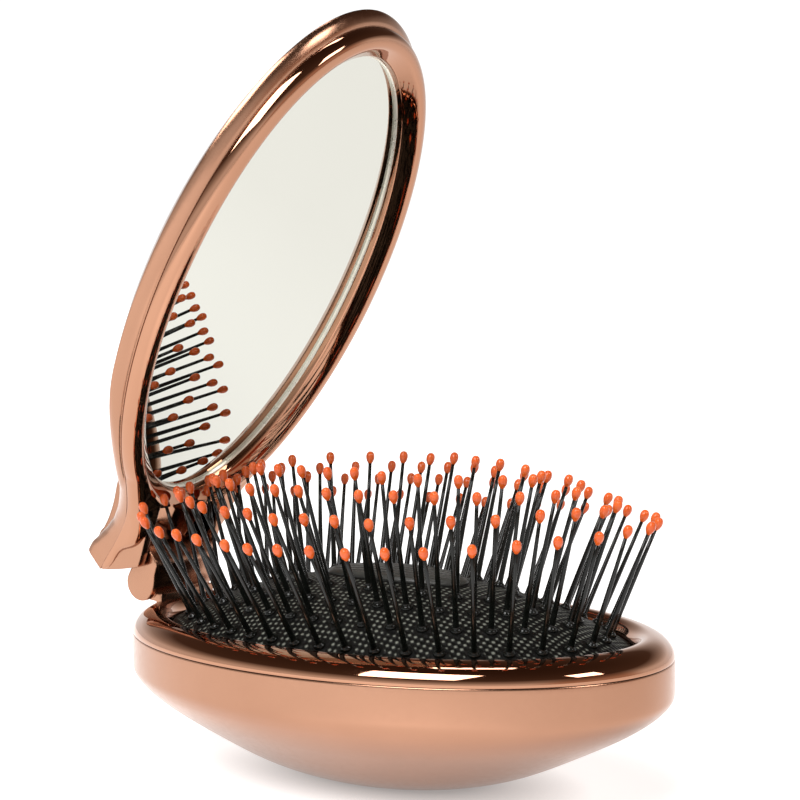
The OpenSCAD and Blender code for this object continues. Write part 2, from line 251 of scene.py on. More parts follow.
def tips():
    m, nt, b = material("tip_orange")
    vec = objcoord(nt, 1.0)
    f = noise(nt, vec, 420.0, 3.0)
    link(nt, ramp(nt, f, [(0.3, (0.51, 0.072, 0.010)), (0.7, (0.62, 0.107, 0.018))]), b.inputs["Base Color"])
    link(nt, mapr(nt, f, 0.10, 0.17, 0.3, 0.7), b.inputs["Roughness"])
    b.inputs["Subsurface Weight"].default_value = 0.12
    b.inputs["Subsurface Radius"].default_value = (0.0012, 0.0004, 0.0002)
    b.inputs["Specular IOR Level"].default_value = 0.12
    b.inputs["Coat Weight"].default_value = 0.45
    b.inputs["Coat Roughness"].default_value = 0.03
    b.inputs["Coat IOR"].default_value = 1.62
    return m


ORANGE = tips()


def silver():
    m, nt, b = material("mirror_silver")
    vec = objcoord(nt, 1.0)
    f = noise(nt, vec, 30.0, 2.0)
    link(nt, ramp(nt, f, [(0.2, (0.560, 0.570, 0.525)), (0.8, (0.570, 0.580, 0.535))]), b.inputs["Base Color"])
    b.inputs["Metallic"].default_value = 1.0
    link(nt, mapr(nt, f, 0.004, 0.012), b.inputs["Roughness"])
    return m


def edge_glass():
    m, nt, b = material("mirror_edge")
    vec = objcoord(nt, 1.0)
    f = noise(nt, vec, 300.0, 3.0)
    link(nt, ramp(nt, f, [(0.3, (0.80, 0.78, 0.68)), (0.7, (0.90, 0.87, 0.77))]), b.inputs["Base Color"])
    b.inputs["Metallic"].default_value = 0.6
    link(nt, mapr(nt, f, 0.22, 0.35), b.inputs["Roughness"])
    return m


SILVER, EDGE = silver(), edge_glass()


def foam():
    m, nt, b = material("pad_foam")
    vec = objcoord(nt, 1.0)
    f = noise(nt, vec, 900.0, 5.0)
    link(nt, ramp(nt, f, [(0.3, (0.55, 0.54, 0.50)), (0.7, (0.68, 0.67, 0.62))]), b.inputs["Base Color"])
    link(nt, mapr(nt, f, 0.7, 0.9), b.inputs["Roughness"])
    link(nt, bump(nt, f, 0.3, 0.0002), b.inputs["Normal"])
    return m


FOAM = foam()


# ---------------------------------------------------------------- mesh helpers

def make(name, verts, faces, mats, smooth=True, angle=None, face_mats=None):
    me = bpy.data.meshes.new(name)
    me.from_pydata([tuple(map(float, v)) for v in verts], [], [tuple(int(i) for i in f) for f in faces])
    me.validate()
    me.update()
    for m in (mats if isinstance(mats, (list, tuple)) else [mats]):
        me.materials.append(m)
    if face_mats is not None:
        me.polygons.foreach_set("material_index", np.asarray(face_mats, dtype=np.int32))
    if smooth:
        me.polygons.foreach_set("use_smooth", np.ones(len(me.polygons), dtype=bool))
    o = bpy.data.objects.new(name, me)
    scene.collection.objects.link(o)
    if angle is not None:
        sharpen(o, angle)
    return o


def sharpen(o, angle):
    """Edges sharper than angle (degrees) are shaded sharp."""
    bm = bmesh.new()
    bm.from_mesh(o.data)
    lim = math.radians(angle)
    for e in bm.edges:
        e.smooth = len(e.link_faces) == 2 and e.calc_face_angle(0.0) < lim
    for f in bm.faces:
        f.smooth = True
    bm.to_mesh(o.data)
    bm.free()
    o.data.update()


def fix_normals(o):
    bm = bmesh.new()
    bm.from_mesh(o.data)
    bmesh.ops.recalc_face_normals(bm, faces=bm.faces)
    bm.to_mesh(o.data)
    bm.free()
    o.data.update()


def rings_mesh(rings, close_profile=False, cap_start=False, cap_end=False):
    """Vertices and quads of a loft over rings that each have the same number of points."""
    n = len(rings[0])
    verts = np.concatenate([np.asarray(r, float) for r in rings])
    faces = []
    m = len(rings)
    for i in range(m if close_profile else m - 1):
        a, b = i * n, ((i + 1) % m) * n
        for j in range(n):
            k = (j + 1) % n
            faces.append((a + j, a + k, b + k, b + j))
    verts = list(map(tuple, verts))
    for cap, at in ((cap_start, 0), (cap_end, (m - 1) * n)):
        if cap:
            c = len(verts)
            verts.append(tuple(np.mean(np.asarray(verts[at:at + n]), axis=0)))
            for j in range(n):
                k = (j + 1) % n
                faces.append((at + k, at + j, c) if at == 0 else (at + j, at + k, c))
    return verts, faces


def ellipse(a, b, n, inset=0.0):
    """Points of an ellipse, moved in by inset along its normals."""
    t = np.linspace(0, 2 * PI, n, endpoint=False)
    x, y = a * np.cos(t), b * np.sin(t)
    nx, ny = np.cos(t) / a, np.sin(t) / b
    ln = np.hypot(nx, ny)
    return x - inset * nx / ln, y - inset * ny / ln


def spline(points, sharp=(), steps=6, closed=True):
    """Catmull-Rom through points; those whose index is in sharp stay corners."""
    pts = [np.array(p, float) for p in points]
    n = len(pts)
    out = []
    for i in range(n if closed else n - 1):
        p1, p2 = pts[i], pts[(i + 1) % n]
        p0 = p1 + (p1 - p2) if i in sharp or (not closed and i == 0) else pts[(i - 1) % n]
        p3 = p2 + (p2 - p1) if (i + 1) % n in sharp or (not closed and i == n - 2) else pts[(i + 2) % n]
        if i in sharp and (i + 1) % n in sharp:
            out.append(p1)
            continue
        d = max(np.linalg.norm(p2 - p1), 1e-9)
        m1 = (p2 - p0) / max(np.linalg.norm(p2 - p1) + np.linalg.norm(p1 - p0), 1e-9) * d
        m2 = (p3 - p1) / max(np.linalg.norm(p3 - p2) + np.linalg.norm(p2 - p1), 1e-9) * d
        if i in sharp or (not closed and i == 0):
            m1 = p2 - p1
        if (i + 1) % n in sharp or (not closed and i == n - 2):
            m2 = p2 - p1
        for k in range(steps):
            t = k / steps
            out.append((2 * t ** 3 - 3 * t * t + 1) * p1 + (t ** 3 - 2 * t * t + t) * m1 + (-2 * t ** 3 + 3 * t * t) * p2 + (t ** 3 - t * t) * m2)
    if not closed:
        out.append(pts[-1])
    return np.array(out)


def prism(name, outline, y0, y1, to, mats, bevel=0.3, segments=3, angle=35.0):
    """A solid with this X-Z outline between y0 and y1, its long edges rounded."""
    bm = bmesh.new()
    lower = [bm.verts.new((float(x), float(y0), float(z))) for x, z in outline]
    upper = [bm.verts.new((float(x), float(y1), float(z))) for x, z in outline]
    bm.faces.new(lower)
    bm.faces.new(list(reversed(upper)))
    n = len(outline)
    for i in range(n):
        j = (i + 1) % n
        bm.faces.new((lower[j], lower[i], upper[i], upper[j]))
    bmesh.ops.recalc_face_normals(bm, faces=bm.faces)
    if bevel > 0:
        lim = math.radians(28)
        edges = [e for e in bm.edges if e.calc_face_angle(0.0) > lim]
        bmesh.ops.bevel(bm, geom=edges, offset=bevel, offset_type="OFFSET", segments=segments, profile=0.5, affect="EDGES", clamp_overlap=True)
    me = bpy.data.meshes.new(name)
    bm.to_mesh(me)
    bm.free()
    co = np.array([v.co for v in me.vertices], float)
    co = to(co)
    me.vertices.foreach_set("co", co.reshape(-1))
    me.update()
    for m in (mats if isinstance(mats, (list, tuple)) else [mats]):
        me.materials.append(m)
    o = bpy.data.objects.new(name, me)
    scene.collection.objects.link(o)
    sharpen(o, angle)
    return o


def apply_modifiers(o):
    dg = bpy.context.evaluated_depsgraph_get()
    dg.update()
    me = bpy.data.meshes.new_from_object(o.evaluated_get(dg), preserve_all_data_layers=True, depsgraph=dg)
    old = o.data
    o.modifiers.clear()
    o.data = me
    bpy.data.meshes.remove(old)


def boolean(o, cutters, op="DIFFERENCE"):
    for c in cutters:
        m = o.modifiers.new("b", "BOOLEAN")
        m.operation = op
        m.solver = "EXACT"
        m.object = c
        bpy.context.view_layer.update()
        apply_modifiers(o)
        data = c.data
        bpy.data.objects.remove(c)
        if data.users == 0:
            bpy.data.meshes.remove(data)
    return o


def join(name, objects):
    """One object from several, materials kept."""
    mats, verts, faces, idx, sharp = [], [], [], [], []
    bm = bmesh.new()
    for o in objects:
        base = []
        for m in o.data.materials:
            if m not in mats:
                mats.append(m)
            base.append(mats.index(m))
        start = len(bm.faces)
        bm.from_mesh(o.data)
        bm.faces.ensure_lookup_table()
        for f in bm.faces[start:]:
            f.material_index = base[f.material_index] if base else 0
        data = o.data
        bpy.data.objects.remove(o)
        bpy.data.meshes.remove(data)
    me = bpy.data.meshes.new(name)
    bm.to_mesh(me)
    bm.free()
    for m in mats:
        me.materials.append(m)
    o = bpy.data.objects.new(name, me)
    scene.collection.objects.link(o)
    return o


def box_cutter(lo, hi, to):
    x0, y0, z0 = lo
    x1, y1, z1 = hi
    v = np.array([(x, y, z) for x in (x0, x1) for y in (y0, y1) for z in (z0, z1)], float)
    f = [(0, 1, 3, 2), (4, 6, 7, 5), (0, 4, 5, 1), (2, 3, 7, 6), (0, 2, 6, 4), (1, 5, 7, 3)]
    o = make("cutter", to(v), f, [STEEL], smooth=False)
    fix_normals(o)
    return o


def outline_cutter(outline, y0, y1, to):
    return prism("cutter", outline, y0, y1, to, STEEL, bevel=0)


# ---------------------------------------------------------------- base

def shell_s(d):
    return 1.0 if d < 6 else 1 - ((d - 6) / 22) ** 1.5


def shell_v(d):
    """The outside is a little fuller low down and turns in sooner at the foot."""
    if d <= 13:
        return shell_s(d)
    q = (d - 13) / 10.2
    return shell_s(d) + 0.03 * math.sin(PI * q * q) - 0.05 * q ** 8


def base_bowl():
    n = 288
    t = np.linspace(0, 2 * PI, n, endpoint=False)
    c, s = np.cos(t), np.sin(t)
    prof = [(0.9935, 0.0), (0.9975, -0.04), (0.9993, -0.14), (1.0, -0.32)]
    prof += [(1.0 + 0.0006 * math.sin(PI * d / 6), -d) for d in (1.0, 2.0, 3.0, 4.0, 5.0)]
    # a soft turn under the wall, then the lens
    for d in np.concatenate([np.linspace(5.6, 9.0, 15), np.linspace(9.5, 22.6, 34), [22.9, 23.08, 23.18, 23.2]]):
        k = shell_v(d)
        if d < 8.2:
            k = 0.5 * k + 0.25 * shell_s(d - 0.55) + 0.25 * shell_s(d + 0.55)
        prof.append((k, -d))
    foot = prof[-1][0]
    prof[-1] = (foot - 0.006, -23.2)
    rings = [np.stack([BL * k * c, BW * k * s, np.full(n, z)], 1) for k, z in prof]
    rings.append(np.stack([BL * 0.16 * c, BW * 0.16 * s, np.full(n, -23.2)], 1))
    # inside
    inner = []
    ia, ib = BL - 2.2, BW * (BL - 2.2) / BL
    for d in np.linspace(21.0, 0.0, 22):
        k = shell_s(d + 2.2 * min(1, d / 12))
        inner.append(np.stack([ia * k * c, ib * k * s, np.full(n, -d)], 1))
    v1, f1 = rings_mesh(rings, cap_end=True)
    v2, f2 = rings_mesh(inner, cap_start=True)
    off = len(v1)
    verts = v1 + v2
    faces = f1 + [tuple(i + off for i in f) for f in f2]
    # rim between the two skins
    last = off + (len(inner) - 1) * n
    for j in range(n):
        k = (j + 1) % n
        faces.append((j, last + j, last + k, k))
    o = make("base_bowl", base_m(verts), faces, [SATIN])
    fix_normals(o)
    # guide tube and pillars inside
    tube = []
    for r, z in ((5.7, -21.4), (5.7, -6.1), (5.6, -6.0), (3.2, -6.0), (3.1, -6.1), (3.1, -20.9)):
        tt = np.linspace(0, 2 * PI, 64, endpoint=False)
        tube.append(np.stack([r * np.cos(tt), r * np.sin(tt), np.full(64, z)], 1))
    v, f = rings_mesh(tube, close_profile=True)
    guide = make("guide", base_m(v), f, [SATIN])
    fix_normals(guide)
    parts = [o, guide]
    for sy in (-1, 1):
        rr = []
        for r, z in ((2.0, -10.8), (2.0, -7.35), (1.95, -7.3), (0.85, -7.3), (0.8, -7.35), (0.8, -10.9)):
            tt = np.linspace(0, 2 * PI, 40, endpoint=False)
            rr.append(np.stack([-41.6 + r * np.cos(tt), 4.6 * sy + r * np.sin(tt), np.full(40, z)], 1))
        v, f = rings_mesh(rr, close_profile=True)
        q = make("pillar", base_m(v), f, [SATIN])
        fix_normals(q)
        parts.append(q)
    o = join("base_bowl", parts)
    sharpen(o, 32)
    return o


RIM = [(0.16, 0.02), (0.05, 0.10), (0.0, 0.28), (0.05, 0.75), (0.3, 1.45), (0.78, 2.15), (1.45, 2.78), (2.2, 3.22), (3.05, 3.52), (3.9, 3.65),
       (4.6, 3.62), (5.25, 3.40), (5.85, 2.98), (6.32, 2.38), (6.62, 1.75), (6.74, 1.2), (6.76, 0.5), (6.74, -0.6)]


def base_rim():
    n = 360
    prof = [tuple(p) for p in spline(RIM, sharp={0, len(RIM) - 1}, steps=4, closed=False)]
    prof += [(5.6, -0.62), (4.3, -0.62), (3.95, -0.65), (3.9, -3.1), (3.8, -3.2), (2.4, -3.2), (2.3, -3.1), (2.28, -0.02), (2.2, 0.02)]
    rings = []
    for inset, z in prof:
        x, y = ellipse(BL, BW, n, inset)
        if inset > 2.0 and z < -0.05:
            # the skirt keeps an even inset here; it does not follow the bowl's inside, whose wall thins along the sides
            # as its outside does
            pass
        rings.append(np.stack([x, y, np.full(n, z)], 1))
    v, f = rings_mesh(rings, close_profile=True)
    o = make("base_rim", base_m(v), f, [GLOSS])
    fix_normals(o)
    boolean(o, [box_cutter((-48.05, -7.55, -7.0), (-44.75, 7.55, 7.0), base_m)])
    sharpen(o, 40)
    return o


LEAF = [(-52.1, 7.6), (-52.05, 5.9), (-51.3, 4.55), (-50.1, 3.72), (-48.7, 3.5), (-47.4, 3.9), (-46.5, 4.75), (-45.85, 6.2), (-45.6, 8.2), (-45.05, 10.1),
        (-45.15, 10.9), (-46.4, 12.6), (-47.8, 14.05), (-48.5, 14.1), (-49.0, 13.4), (-49.6, 11.7), (-50.75, 10.0)]


def hinge_leaf():
    lo = prism("leaf", spline(LEAF, sharp={9, 10}, steps=5), -8.5, 8.5, base_m, SATIN_EDGE, bevel=0.35)
    arm = [(-57.95, 12.5), (-55.2, 10.4), (-52.6, 8.6), (-48.8, 8.0), (-47.4, 12.0), (-48.6, 14.2), (-50.4, 14.35), (-53.0, 15.2), (-55.8, 16.34)]
    a = prism("arm", spline(arm, sharp={0, 3, 4, 5, 8}, steps=4), -3.8, 3.8, base_m, SATIN_EDGE, bevel=0.25)
    tt = np.linspace(0, 2 * PI, 72, endpoint=False)
    rr = []
    for r, y in ((1.06, -3.75), (1.1, -3.8), (2.05, -3.8), (2.25, -3.6), (2.25, 3.6), (2.05, 3.8), (1.1, 3.8), (1.06, 3.75)):
        rr.append(np.stack([HX + r * np.cos(tt), np.full(72, y), HZ + r * np.sin(tt)], 1))
    v, f = rings_mesh(rr, close_profile=True)
    barrel = make("barrel", base_m(v), f, [SATIN_EDGE])
    fix_normals(barrel)
    hole = []
    for y in (-6.0, 6.0):
        hole.append(np.stack([HX + 1.5 * np.cos(tt), np.full(72, y), HZ + 1.5 * np.sin(tt)], 1))
    v, f = rings_mesh(hole, cap_start=True, cap_end=True)
    cut = make("cut", base_m(v), f, [STEEL])
    fix_normals(cut)
    boolean(a, [cut])
    post = prism("post", [(-46.2, -5.6), (-44.85, -5.6), (-44.85, 5.0), (-47.95, 5.0), (-47.95, 3.7), (-46.2, 3.5)], -7.45, 7.45, base_m, SATIN_EDGE, bevel=0.2)
    foot = prism("foot", [(-44.2, -7.2), (-38.25, -7.2), (-38.25, -5.4), (-43.6, -5.4), (-43.6, -4.4), (-45.5, -4.4)], -7.45, 7.45, base_m, SATIN_EDGE, bevel=0.2)
    o = join("hinge_leaf", [lo, a, barrel, post, foot])
    sharpen(o, 32)
    return o


# ---------------------------------------------------------------- lid

def lid_h(s):
    return 2.5 + 10 * (1 - (s / 1.04) ** 3)


SLOT = [(-44.6, -6.0), (-44.6, 11.0), (-46.2, 12.9), (-47.75, 14.75), (-75.0, 14.75), (-75.0, -6.0)]
TAIL = [(-33.0, 16.6), (-37.0, 16.95), (-41.0, 17.1), (-45.6, 16.6), (-48.9, 15.75), (-52.0, 15.35), (-54.8, 15.45), (-57.2, 15.95), (-59.2, 16.6),
        (-60.9, 11.62), (-49.6, 11.62), (-48.4, 9.0), (-44.6, 9.0), (-44.6, 15.0), (-33.0, 14.8)]
TAIL_MID = [(-32.0, 17.0), (-37.0, 17.6), (-41.0, 17.8), (-46.0, 17.35), (-49.5, 16.5), (-52.5, 16.15), (-55.0, 16.25), (-57.5, 16.75), (-60.0, 17.35),
            (-61.0, 14.0), (-60.9, 11.62), (-49.6, 11.62), (-44.6, 11.62), (-44.6, 15.2), (-32.0, 15.2)]


NECK_X = [-60.9, -59.2, -57.0, -54.0, -51.0, -48.0, -45.0, -42.0, -39.0, -36.0, -33.0]
NECK_W = [10.9, 10.9, 11.1, 11.55, 12.3, 13.4, 14.85, 16.55, 18.45, 20.5, 22.4]
NECK_SEAM = [11.56, 11.3, 10.9, 10.2, 9.55, 9.05, 8.84, 8.8, 8.8, 8.8, 8.8]
NECK_TOP = [16.5, 16.4, 15.95, 15.6, 15.5, 15.85, 16.3, 16.7, 17.0, 17.3, 17.6]
NECK_ROUND = [9.0, 9.0, 6.0, 3.6, 2.6, 2.2, 2.05, 2.0, 2.0, 2.0, 2.0]
NECK_LEAN = [1.7, 1.4, 0.8, 0.3, 0.0, 0.0, 0.0, 0.0, 0.0, 0.0, 0.0]
NECK_LOW = [(-60.9, 11.3), (-60.0, 10.35), (-58.6, 9.65), (-57.0, 9.3), (-55.6, 9.0), (-54.4, 8.2), (-53.4, 7.1), (-52.2, 6.15), (-50.6, 5.6), (-48.6, 5.4), (-46.5, 5.65), (-44.5, 5.95), (-42.0, 6.08), (-39.0, 6.1), (-36.0, 6.1)]


def smooth_at(x, xs, ys):
    """Smooth curve through given points, Catmull-Rom on an uneven grid."""
    xs, ys = np.asarray(xs, float), np.asarray(ys, float)
    k = int(np.clip(np.searchsorted(xs, x) - 1, 0, len(xs) - 2))
    h = xs[k + 1] - xs[k]
    m = np.gradient(ys, xs)
    q = (x - xs[k]) / h
    return float((1 + 2 * q) * (1 - q) ** 2 * ys[k] + q * (1 - q) ** 2 * h * m[k] + q * q * (3 - 2 * q) * ys[k + 1] + q * q * (q - 1) * h * m[k + 1])


def neck_back():
    """The lid back drawn out over the hinge: an arched section that narrows, then flares up at the tail."""
    rings = []
    for x in np.linspace(-33.4, -60.9, 56):
        w, zs, zt = smooth_at(x, NECK_X, NECK_W), smooth_at(x, NECK_X, NECK_SEAM), smooth_at(x, NECK_X, NECK_TOP)
        p, lean = float(np.interp(x, NECK_X, NECK_ROUND)), smooth_at(x, NECK_X, NECK_LEAN)
        row = []
        for ph in np.linspace(0, PI, 65):
            c, q = math.cos(ph), math.sin(ph)
            y = -w * abs(c) ** (2 / p) * (1 if c >= 0 else -1)
            rise = max(q, 0.0) ** (2 / p)
            z = zs + 0.05 + (zt - zs) * rise
            row.append((x + lean * rise, y, z))
        for y in (0.6, 0.2, -0.2, -0.6):
            row.append((x, w * y, zs + 0.05))
        rings.append(np.array(row))
    v, f = rings_mesh(rings, cap_start=True, cap_end=True)
    o = make("tail", lid_m(v), f, [SATIN_EDGE])
    fix_normals(o)
    return o


def neck_front(side):
    """The frame's bead drawn out into a prong beside the hinge, ending in a horn over a flat block."""
    lx, lz = [q[0] for q in NECK_LOW], [q[1] for q in NECK_LOW]
    rings = []
    for x in np.linspace(-36.4, -60.6, 50):
        w, zs = smooth_at(x, NECK_X, NECK_W), smooth_at(x, NECK_X, NECK_SEAM) - 0.03
        zl = smooth_at(x, lx, lz)
        zl = min(zl, zs - 0.25)
        flare = 0.75 * float(np.clip((-46.0 - x) / 6.0, 0, 1)) * float(np.clip((x + 60.6) / 1.5, 0.0, 1))
        w = w + 0.06 + flare * 0.6
        crest = 28.8 * math.sqrt(max(0.0, 1 - (x / 46.1) ** 2))
        inner = max(8.95, crest - 0.3)
        r = float(np.interp(x, [-60.0, -55.5, -52.0, -47.0, -43.0], [0.5, 0.7, 1.5, 2.2, 2.5]))
        r = min(r, w - inner - 0.2)
        rz = min(max(zs - zl - 0.3, 0.2), r * 1.1 if x < -47 else zs - zl - 0.25)
        row = [(x, side * inner, zs), (x, side * inner, zl + 0.12), (x, side * (inner + 0.15), zl)]
        for a in np.linspace(0, PI / 2, 11):
            row.append((x, side * (w - r + r * math.sin(a)), zl + rz - rz * math.cos(a)))
        row += [(x, side * w, zs - 0.14), (x, side * (w - 0.12), zs)]
        rings.append(np.array(row))
    v, f = rings_mesh(rings, cap_start=True, cap_end=True)
    horn = make("horn", lid_m(v), f, [GLOSS_EDGE])
    fix_normals(horn)
    block = [(-60.9, 11.56), (-60.3, 10.4), (-58.2, 7.35), (-55.7, 4.3), (-54.0, 4.5), (-51.9, 4.9), (-49.9, 5.3), (-48.2, 5.7), (-46.6, 6.4), (-45.2, 7.2),
             (-45.2, 8.7), (-48.35, 8.7), (-49.5, 11.56)]
    b = prism("block", spline(block, sharp={0, 1, 3, 9, 10, 11, 12}, steps=4), 9.9 * side - 0.95, 9.9 * side + 0.95, lid_m, SATIN_EDGE, bevel=0.3)
    return join("prong", [horn, b])


def lid_shell():
    n = 288
    t = np.linspace(0, 2 * PI, n, endpoint=False)
    c, s = np.cos(t), np.sin(t)
    prof = [(0.9955, 8.86), (0.9985, 8.9), (1.0, 9.02)]
    prof += [(1 + 0.04 * math.sin(math.radians(90 * q)), 8.8 + 2.5 * q) for q in np.linspace(0.14, 1, 10)]
    prof += [(1.04 * (1 - q ** 1.5), 8.8 + lid_h(1.04 * (1 - q ** 1.5))) for q in np.linspace(0.02, 0.985, 46)]
    rings = []
    for k, z in prof:
        x = LL * k * c
        draw = np.clip((-18 - x) / 24, 0, 1)
        draw = draw * draw * (3 - 2 * draw) * min(1.0, max(0.0, z - 8.9) / 3.0)
        rings.append(np.stack([x, LW * k * s * (1 - 0.13 * draw), np.full(n, z)], 1))
    inner = []
    for k in np.linspace(0.02, 0.744, 14):
        inner.append(np.stack([LL * k * c, LW * k * s, np.full(n, 8.8 + lid_h(k) - 2.1)], 1))
    inner.append(np.stack([36.2 * c, 23.3 * s, np.full(n, 11.42)], 1))
    for a, b, z in ((42.4, 25.4, 11.42), (42.4, 25.4, 10.92), (45.0, 27.7, 10.9), (45.0, 27.7, 8.9), (45.4, 28.1, 8.86)):
        inner.append(np.stack([a * c, b * s, np.full(n, z)], 1))
    v1, f1 = rings_mesh(rings, cap_end=True)
    v2, f2 = rings_mesh(inner, cap_start=True)
    off = len(v1)
    verts = v1 + v2
    faces = f1 + [tuple(i + off for i in f) for f in f2]
    last = off + (len(inner) - 1) * n
    for j in range(n):
        k = (j + 1) % n
        faces.append((j, last + j, last + k, k))
    dome = make("dome", lid_m(verts), faces, [SATIN_EDGE])
    fix_normals(dome)
    boolean(dome, [outline_cutter(SLOT, -8.85, 8.85, lid_m)])
    tail = neck_back()
    mid = prism("mid", spline(TAIL_MID, sharp={0, 8, 10, 11, 12, 13, 14}, steps=5), -8.6, 8.6, lid_m, SATIN_EDGE, bevel=0.55, segments=4)
    tt = np.linspace(0, 2 * PI, 72, endpoint=False)
    rr = [np.stack([HX + r * np.cos(tt), np.full(72, y), HZ + r * np.sin(tt)], 1) for r, y in ((2.2, -8.5), (2.4, -8.3), (2.4, 8.3), (2.2, 8.5))]
    v, f = rings_mesh(rr, cap_start=True, cap_end=True)
    knuckle = make("knuckle", lid_m(v), f, [SATIN_EDGE])
    fix_normals(knuckle)
    boolean(mid, [knuckle], op="UNION")
    boolean(tail, [mid], op="UNION")
    # keep the tail clear of the mirror's room
    room = []
    for z in (6.0, 10.9):
        room.append(np.stack([44.8 * c, 27.5 * s, np.full(n, z)], 1))
    v, f = rings_mesh(room, cap_start=True, cap_end=True)
    cut1 = make("cut", lid_m(v), f, [STEEL])
    fix_normals(cut1)
    room = []
    for z in (6.0, 11.42):
        room.append(np.stack([42.4 * c, 25.4 * s, np.full(n, z)], 1))
    v, f = rings_mesh(room, cap_start=True, cap_end=True)
    cut2 = make("cut", lid_m(v), f, [STEEL])
    fix_normals(cut2)
    # slot for the leaf, but not where the knuckles sit
    sl = outline_cutter(SLOT, -8.85, 8.85, lid_m)
    kk = [np.stack([HX + 7.1 * np.cos(tt), np.full(72, y), HZ + 7.1 * np.sin(tt)], 1) for y in (-12.0, 12.0)]
    v, f = rings_mesh(kk, cap_start=True, cap_end=True)
    keep = make("keep", lid_m(v), f, [STEEL])
    fix_normals(keep)
    boolean(sl, [keep])
    gap = outline_cutter([(-49.2, -6.0), (-49.2, 22.0), (-56.5, 22.0), (-58.7, 16.9), (-58.6, 15.6), (-60.1, 14.6), (-75.0, 12.0), (-75.0, -6.0)], -4.1, 4.1, lid_m)
    gk = [np.stack([HX + 2.6 * np.cos(tt), np.full(72, y), HZ + 2.6 * np.sin(tt)], 1) for y in (-4.1, 4.1)]
    v, f = rings_mesh(gk, cap_start=True, cap_end=True)
    gapk = make("gapk", lid_m(v), f, [STEEL])
    fix_normals(gapk)
    bk = [np.stack([HX + 1.06 * np.cos(tt), np.full(72, y), HZ + 1.06 * np.sin(tt)], 1) for y in (-8.8, 12.0)]
    v, f = rings_mesh(bk, cap_start=True, cap_end=True)
    bore = make("bore", lid_m(v), f, [STEEL])
    fix_normals(bore)
    low = box_cutter((-70.0, -8.85, -6.0), (-44.6, 8.85, 11.6), lid_m)
    boolean(tail, [cut1, cut2, sl, low, gap, gapk, bore])
    o = join("lid_shell", [dome, tail])
    sharpen(o, 34)
    return o


FRAME = [(0.16, 8.8), (0.04, 8.7), (0.0, 8.5), (0.06, 7.95), (0.26, 7.3), (0.62, 6.72), (1.12, 6.32), (1.7, 6.1), (2.3, 6.06), (2.85, 6.24), (3.6, 6.8), (4.4, 7.5), (4.98, 8.05)]


def lid_frame():
    n = 360
    prof = [tuple(p) for p in spline(FRAME, sharp={0, len(FRAME) - 1}, steps=4, closed=False)]
    prof += [(5.14, 8.24), (5.2, 8.45), (5.22, 9.0), (5.22, 9.78), (5.1, 9.84), (3.8, 9.84), (3.72, 9.76), (3.70, 8.84), (3.6, 8.8)]
    rings = []
    for inset, z in prof:
        x, y = ellipse(LL, LW, n, inset)
        rings.append(np.stack([x, y, np.full(n, z)], 1))
    v, f = rings_mesh(rings, close_profile=True)
    o = make("lid_rim", lid_m(v), f, [GLOSS])
    fix_normals(o)
    boolean(o, [outline_cutter(SLOT, -8.85, 8.85, lid_m)])
    parts = [o, neck_front(-1), neck_front(1)]
    o = join("lid_rim", parts)
    sharpen(o, 34)
    return o


def mirror_plate():
    """Silvered plate with a ground rim that stands up just inside the frame's opening."""
    n = 288
    t = np.linspace(0, 2 * PI, n, endpoint=False)
    c, s = np.cos(t), np.sin(t)
    a, b = 44.3, 27.0
    wa, wb = 43.1, 25.8
    # ground rim: inside face, top and outside, then the silvered face runs up to it
    prof = [(wa - 0.34, wb - 0.34, 9.92), (wa - 0.30, wb - 0.30, 9.5), (wa - 0.12, wb - 0.12, 9.34), (wa - 0.01, wb - 0.01, 9.36), (wa, wb, 9.5), (wa, wb, 9.9), (a - 0.06, b - 0.06, 9.92), (a, b, 9.98), (a, b, 10.74), (a - 0.08, b - 0.08, 10.8)]
    rings = [np.stack([p * c, q * s, np.full(n, z)], 1) for p, q, z in prof]
    rings = [np.stack([(wa - 0.8) * c, (wb - 0.8) * s, np.full(n, 9.92)], 1)] + rings
    v, f = rings_mesh(rings, cap_start=True, cap_end=True)
    mats = [0 if i < n else (1 if i < 9 * n else 0) for i in range(len(f))]
    o = make("mirror_glass", lid_m(v), f, [SILVER, EDGE], face_mats=mats)
    fix_normals(o)
    sharpen(o, 20)
    return o


# ---------------------------------------------------------------- cushion and bristles

def dome_z(x, y):
    q = np.asarray(x) ** 2 + np.asarray(y) ** 2 * (RI / RB) ** 2
    return DOME_Z + RISE - DOME_R + np.sqrt(np.maximum(DOME_R ** 2 - q, 0))


def bristle_list():
    out = []
    for k in range(1, 5):
        a, b, n = 39.2 - 5.4 * (k - 1), 24.9 - 4.9 * (k - 1), 40 - 6 * (k - 1)
        e = (a - b) / (a + b) / 2
        for i in range(n):
            f = 2 * PI * (i + (k % 2) / 2) / n
            t = f + e * math.sin(2 * f)
            x, y = a * math.cos(t), b * math.sin(t)
            sx, sy = 2 * RISE * x / RI ** 2 * 0.85, 2 * RISE * y / RB ** 2
            if x < -30:
                sx *= max(0.5, 1 - 0.55 * ((-30 - x) / 8.1) ** 2)
            u = np.array([sx, sy, 1.0])
            out.append((k, i, t, np.array([x, y, float(dome_z(x, y))]), u / np.linalg.norm(u)))
    return out


BRISTLES = bristle_list()


